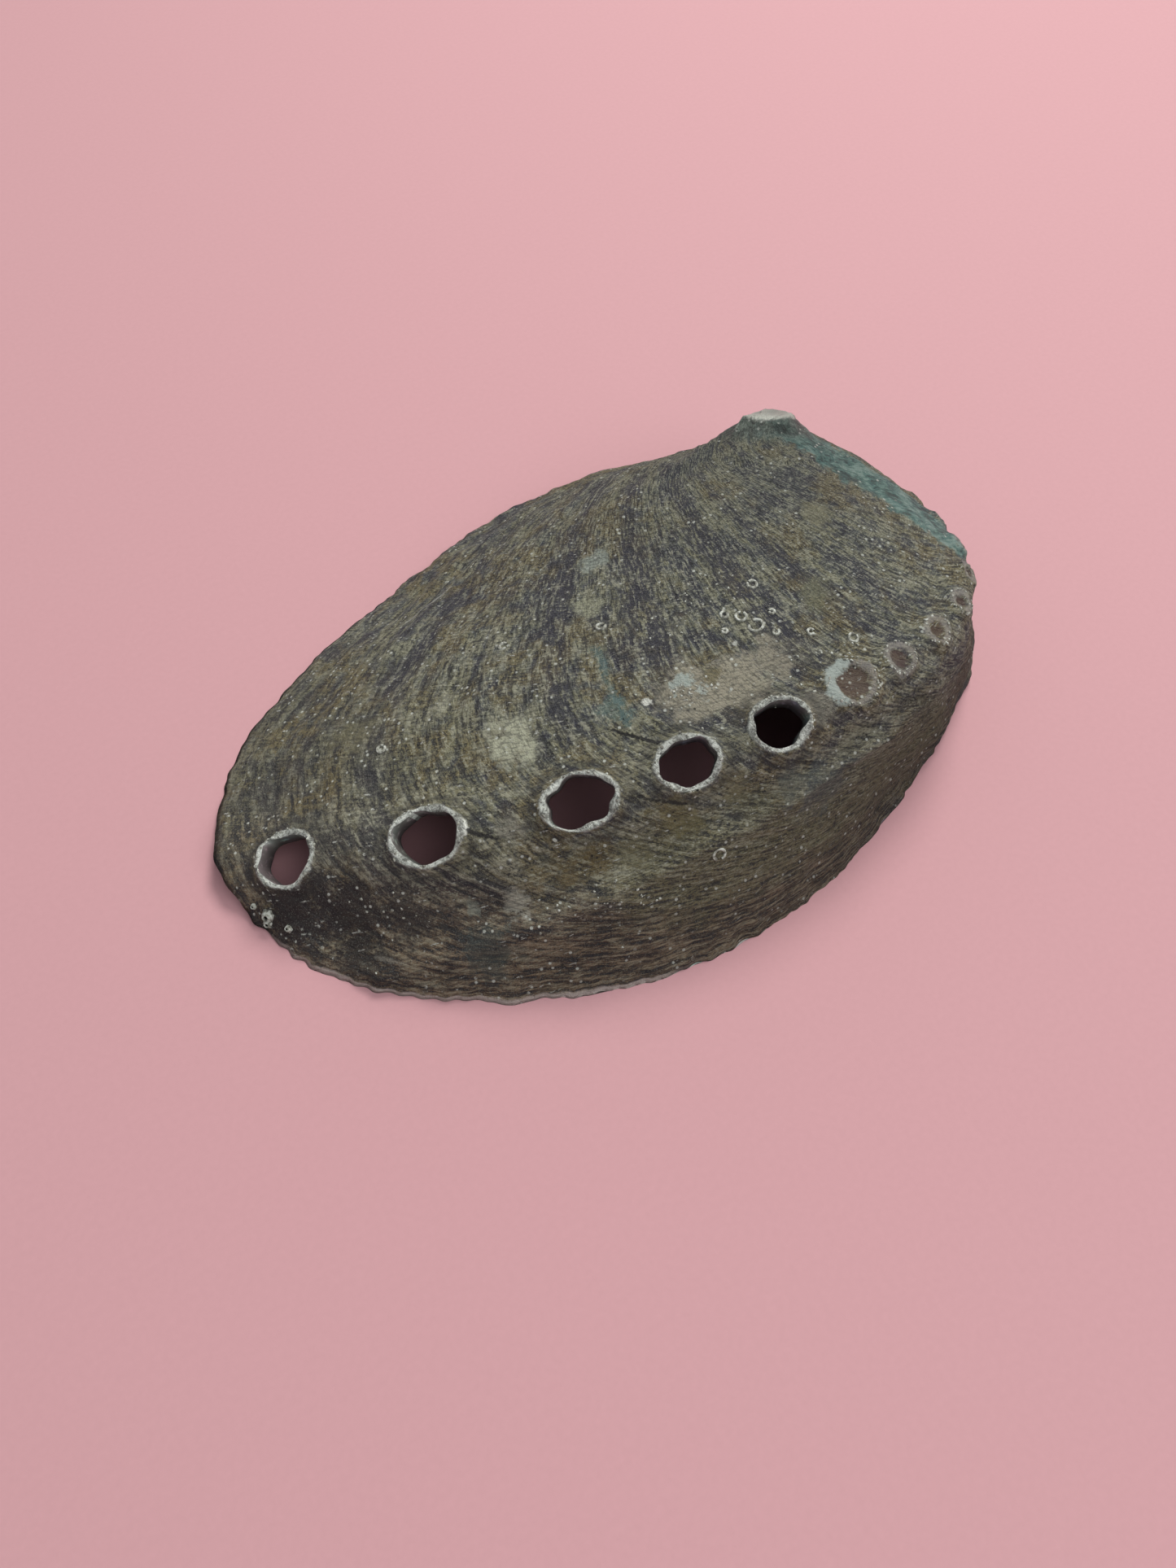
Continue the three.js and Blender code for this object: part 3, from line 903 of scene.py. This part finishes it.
crescent_path = [big_filled[0] + big_filled[1] * x + up_slope * y + big_filled[3] * 0.8
                 for x, y in ((-3.6, -2.2), (-3.8, 0.4), (-2.4, 2.8), (0.4, 3.6))]
crescent = (outside.from_path([at(p) for p in crescent_path]) + (warp - 0.5) * 3.0
            + (fine - 0.5) * 1.2).band(1.8, 1.1)
colour = outside.mix(crescent * 0.85, colour, (0.40, 0.45, 0.41, 1))

speck = dashes.band(0.22, 0.12) * fine.band(0.44, 0.52) * warp.band(0.50, 0.58)
colour = outside.mix(speck * 0.85, colour, (0.50, 0.50, 0.45, 1))
fleck = outside.cells(here, 620.0).band(0.22, 0.12) * blotch.band(0.46, 0.55)
colour = outside.mix(fleck * 0.8, colour, (0.55, 0.56, 0.50, 1))
pit = pits.band(0.16, 0.07) * warp.band(0.44, 0.56)
colour = outside.mix(pit * 0.8, colour, (0.012, 0.011, 0.011, 1))
low_edge = (outside.height() + (warp - 0.5) * 1.2).band(0.9, 0.5) * outside.around(217.0).band(0.82, 0.93)
colour = outside.mix(low_edge * 0.85, colour, (0.50, 0.42, 0.38, 1))

rough = 0.80 - (worn + nub_side) * 0.22 + (fine - 0.5) * 0.3
height = lines * 0.6 + streaks * 0.6 + cords * 0.18 + fine * 0.5 + warp * 0.45 + tiny * 0.16 + speck * 0.12
height = height - pit * 0.25 - scales * 0.10 + chalk * 0.25
relief_bump = outside.bump(height, 0.0019, 1.0)
outside.surface({"Base Color": colour, "Roughness": rough, "Normal": relief_bump,
                 "Specular IOR Level": 0.35})
print("outside nodes", len(outside.tree.nodes))

# %% [markdown]
# ## The pearly lining
# The nacre is smooth and shows soft patches of silver, pink, green and blue that follow the
# growth lines. It also lines the walls of the open holes, where it has painted shade and is rougher near
# the outside.

# %% Lining finish
lining = Finish("pearly_lining")
drift = lining.noise(lining.growth(4.0, 10.0), 1.0, 4.0, 0.55, 0.6)
sheen = lining.noise(lining.place(), 140.0, 3.0, 0.5, 0.8)
pearl = lining.ramp(drift * 0.6 + sheen * 0.4, [
    (0.36, (0.13, 0.20, 0.22, 1)),
    (0.44, (0.19, 0.27, 0.22, 1)),
    (0.50, (0.28, 0.28, 0.25, 1)),
    (0.56, (0.27, 0.19, 0.21, 1)),
    (0.64, (0.16, 0.18, 0.26, 1)),
])
# Painted shade: the lining is darkened on the walls of the open holes, and is rougher there too.
hole_shade_and_dull = lining.attribute("collar").band(1.2, -0.2) * lining.noise(lining.place(), 700.0).band(0.2, 0.5)
pearl = lining.mix(hole_shade_and_dull * 0.9, pearl, (0.045, 0.038, 0.034, 1))
lining_bump = lining.bump(drift * 0.8 + sheen * 0.6, 0.0006, 0.5)
lining.surface({"Base Color": pearl, "Roughness": 0.24 + hole_shade_and_dull * 0.5 + (sheen - 0.5) * 0.12,
                "Normal": lining_bump, "Coat Weight": 0.35})

cut_mesh.materials.clear()
cut_mesh.materials.append(outside.material)
cut_mesh.materials.append(lining.material)
inside_faces = 0
for face in cut_mesh.polygons:
    deep = float(np.mean([depth_of[k] for k in face.vertices])) > 0.3
    face.material_index = 1 if deep else 0
    inside_faces += deep
print("lining faces", inside_faces)

# %% [markdown]
# ## Small things grown on the shell
# Coiled worm tubes, a few barnacles by the left end, and grains of crust round the holes. Each kind
# is one mesh, made from the operators' own shapes and pressed into the skin.

# %% Growths
shell_tree = BVHTree.FromPolygons([v.co.copy() for v in cut_mesh.vertices],
                                  [list(face.vertices) for face in cut_mesh.polygons])


def seated(point, sink=0.0):
    """A matrix on the skin nearest a place, with Z outward."""
    place, normal, _, _ = shell_tree.find_nearest(Vector(at(point)))
    turn = normal.to_track_quat("Z", "Y").to_matrix().to_4x4()
    return Matrix.Translation(place - normal * sink * MM) @ turn


def new_piece(name, mesh_builder, material):
    mesh = bpy.data.meshes.new(name)
    mesh_builder.to_mesh(mesh)
    mesh_builder.free()
    mesh.shade_smooth()
    mesh.materials.append(material)
    piece = bpy.data.objects.new(name, mesh)
    bpy.context.collection.objects.link(piece)
    return piece


lime = Finish("chalky_lime")
lime_noise = lime.noise(lime.place(), 1500.0, 4.0, 0.6)
lime_tone = lime.ramp(lime_noise, [
    (0.38, (0.11, 0.105, 0.085, 1)),
    (0.50, (0.27, 0.27, 0.225, 1)),
    (0.62, (0.46, 0.47, 0.42, 1)),
])
lime.surface({"Base Color": lime_tone, "Roughness": 0.7 + lime_noise * 0.25,
              "Normal": lime.bump(lime_noise, 0.0004, 0.8)})

WORMS = [((15, -20, 32), 1.2), ((14, -17, 32), 0.9), ((-10, -47, 17), 1.0), ((-5.5, -3, 28.5), 0.8),
         ((12, -15, 32), 0.6), ((17, -23, 32), 0.5), ((19, -19, 32), 0.5), ((10, -18, 32), 0.45),
         ((22, -26, 32), 0.55), ((-52, -30, 8), 0.5), ((20, -12, 33), 0.8), ((-20, 6, 22), 0.7),
         ((28, -30, 30), 0.8), ((-47, 2, 15), 0.7)]
bm = bmesh.new()
random.seed(21)
for centre, ring in WORMS:
    older = set(bm.verts)
    made = bmesh.ops.create_circle(bm, cap_ends=False, segments=10, radius=0.26)
    bmesh.ops.rotate(bm, verts=made["verts"], cent=(0, 0, 0), matrix=Matrix.Rotation(math.pi / 2, 3, "X"))
    bmesh.ops.translate(bm, verts=made["verts"], vec=(ring, 0, 0.1))
    start = made["verts"]
    edges = list({e for v in start for e in v.link_edges})
    bmesh.ops.spin(bm, geom=start + edges, cent=(0, 0, 0), axis=(0, 0, 1),
                   angle=math.radians(random.uniform(290, 345)), steps=26, use_merge=False)
    pose = seated(centre, 0.05) @ Matrix.Rotation(random.uniform(0, 6.28), 4, "Z") @ Matrix.Scale(MM, 4)
    bmesh.ops.transform(bm, matrix=pose, verts=[v for v in bm.verts if v not in older])
bmesh.ops.recalc_face_normals(bm, faces=bm.faces)
worms = new_piece("worm_tubes", bm, lime.material)

bm = bmesh.new()
BARNACLES = [((-77, -10, 3), 1.3), ((-78, -11, 2), 1.0), ((-75, -14, 3), 0.8), ((-78.5, -7, 3), 0.7)]
for centre, size in BARNACLES:
    older = set(bm.verts)
    made = bmesh.ops.create_cone(bm, cap_ends=False, segments=16, radius1=size, radius2=0.45 * size,
                                 depth=0.9 * size)
    for vert in made["verts"]:
        turn = math.atan2(vert.co.y, vert.co.x)
        vert.co.xy *= 1 + 0.1 * math.sin(6 * turn)
    faces = list({f for v in made["verts"] for f in v.link_faces})
    bmesh.ops.solidify(bm, geom=faces, thickness=0.2 * size)
    pose = seated(centre, -0.3 * size) @ Matrix.Scale(MM, 4)
    bmesh.ops.transform(bm, matrix=pose, verts=[v for v in bm.verts if v not in older])
bmesh.ops.recalc_face_normals(bm, faces=bm.faces)
barnacles = new_piece("barnacles", bm, lime.material)

# %% Crust grains
GRAINS = 900
bm = bmesh.new()
random.seed(33)
seats = []
for age, bearing, half_along, half_across in OPEN_HOLES + FILLED_HOLES[:4]:
    centre, along, across, outward = laid_on(age, bearing)
    for _ in range(int(GRAINS * 0.05)):
        turn = random.uniform(0, 2 * math.pi)
        out = 1 + abs(random.gauss(0.12, 0.14))
        seats.append((centre + along * half_along * out * math.cos(turn)
                      + across * half_across * out * math.sin(turn) + outward * 1.2, 0.2))
# Each scatter is its middle, its spread in millimetres and its share of all the grains.
SCATTERS = [
    ((-2, -25, 30), 4.5, 0.05),
    ((20, -30, 30), 8, 0.10),
    ((-60, -22, 9), 9, 0.05),
    ((-30, -42, 15), 9, 0.08),
    ((10, -10, 32), 9, 0.06),
]
for centre, spread, count in SCATTERS:
    for _ in range(int(GRAINS * count)):
        step_aside = np.array([random.gauss(0, spread * 0.6) for _ in range(3)])
        seats.append((np.array(centre, float) + step_aside * [1, 1, 0.3], 0.2))
for place, size in seats:
    made = bmesh.ops.create_icosphere(bm, subdivisions=1, radius=1.0)
    grain = size * random.uniform(0.5, 1.5) * MM
    squash = Matrix.Diagonal((grain * random.uniform(0.7, 1.5), grain * random.uniform(0.7, 1.2),
                              grain * random.uniform(0.4, 0.8), 1))
    for vert in made["verts"]:
        vert.co *= random.uniform(0.75, 1.15)
    pose = seated(place) @ Matrix.Rotation(random.uniform(0, 6.28), 4, "Z") @ squash
    bmesh.ops.transform(bm, matrix=pose, verts=made["verts"])
crust = new_piece("crust_grains", bm, lime.material)
print("worms", len(worms.data.polygons), "barnacles", len(barnacles.data.polygons),
      "grains", len(crust.data.polygons))

# %% [markdown]
# ## Hand the pieces to the frame
# The shell stands in for the frame's one node, and the small growths ride with it.

# %% Ride, replace and finish
for piece in (shell, worms, barnacles, crust):
    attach(piece, "root")
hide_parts("shell")
